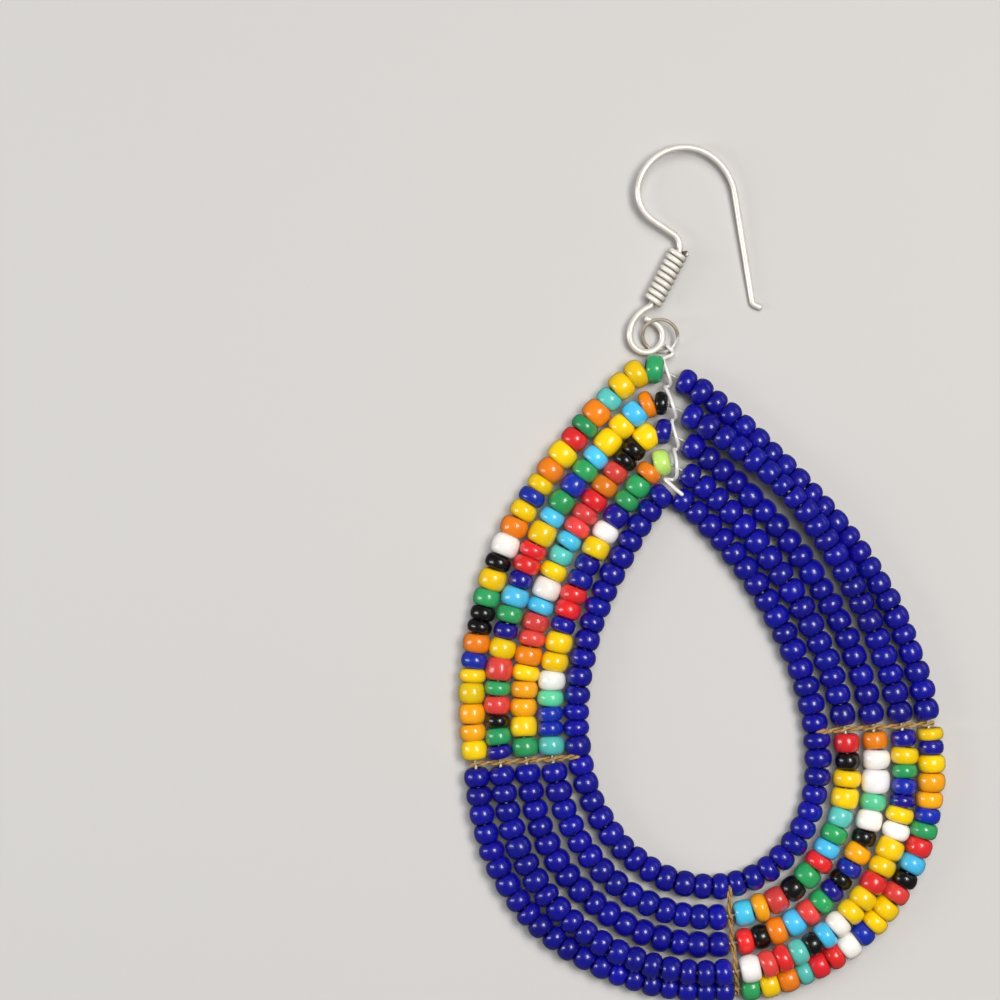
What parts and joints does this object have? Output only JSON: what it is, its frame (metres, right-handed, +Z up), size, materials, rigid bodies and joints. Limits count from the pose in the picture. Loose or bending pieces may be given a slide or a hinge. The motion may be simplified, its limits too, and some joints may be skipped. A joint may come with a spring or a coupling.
{
  "type": "beaded earring",
  "caption": "Teardrop drop earring: five nested strings of seed beads in blue and mixed colours, laced at the top, on a fish-hook ear wire with a coil, lying flat.",
  "frame": {"origin": "on the table, under the middle of the box round the whole earring", "axes": "+Y along the drop, from its round foot to the top of the ear hook; +Z up from the table, across the earring's thickness"},
  "size_m": [0.0478, 0.0856, 0.0044],
  "materials": {
    "bead_glass": "opaque glossy seed beads: deep ultramarine, with stretches of mixed yellow, red, green, black, orange, white, cyan and blue on the four outer strings",
    "silver_wire": "soft bright silver-coloured wire with a slight warm tarnish",
    "gold_thread": "golden-brown twisted thread"
  },
  "bodies": {
    "root": {"bead_row_1": "bead_glass", "bead_row_2": "bead_glass", "bead_row_3": "bead_glass", "bead_row_4": "bead_glass", "bead_row_5": "bead_glass", "ear_hook": "silver_wire", "hook_coil": "silver_wire", "hanger_ring": "silver_wire", "top_lashing": "silver_wire"}
  },
  "joints": []
}
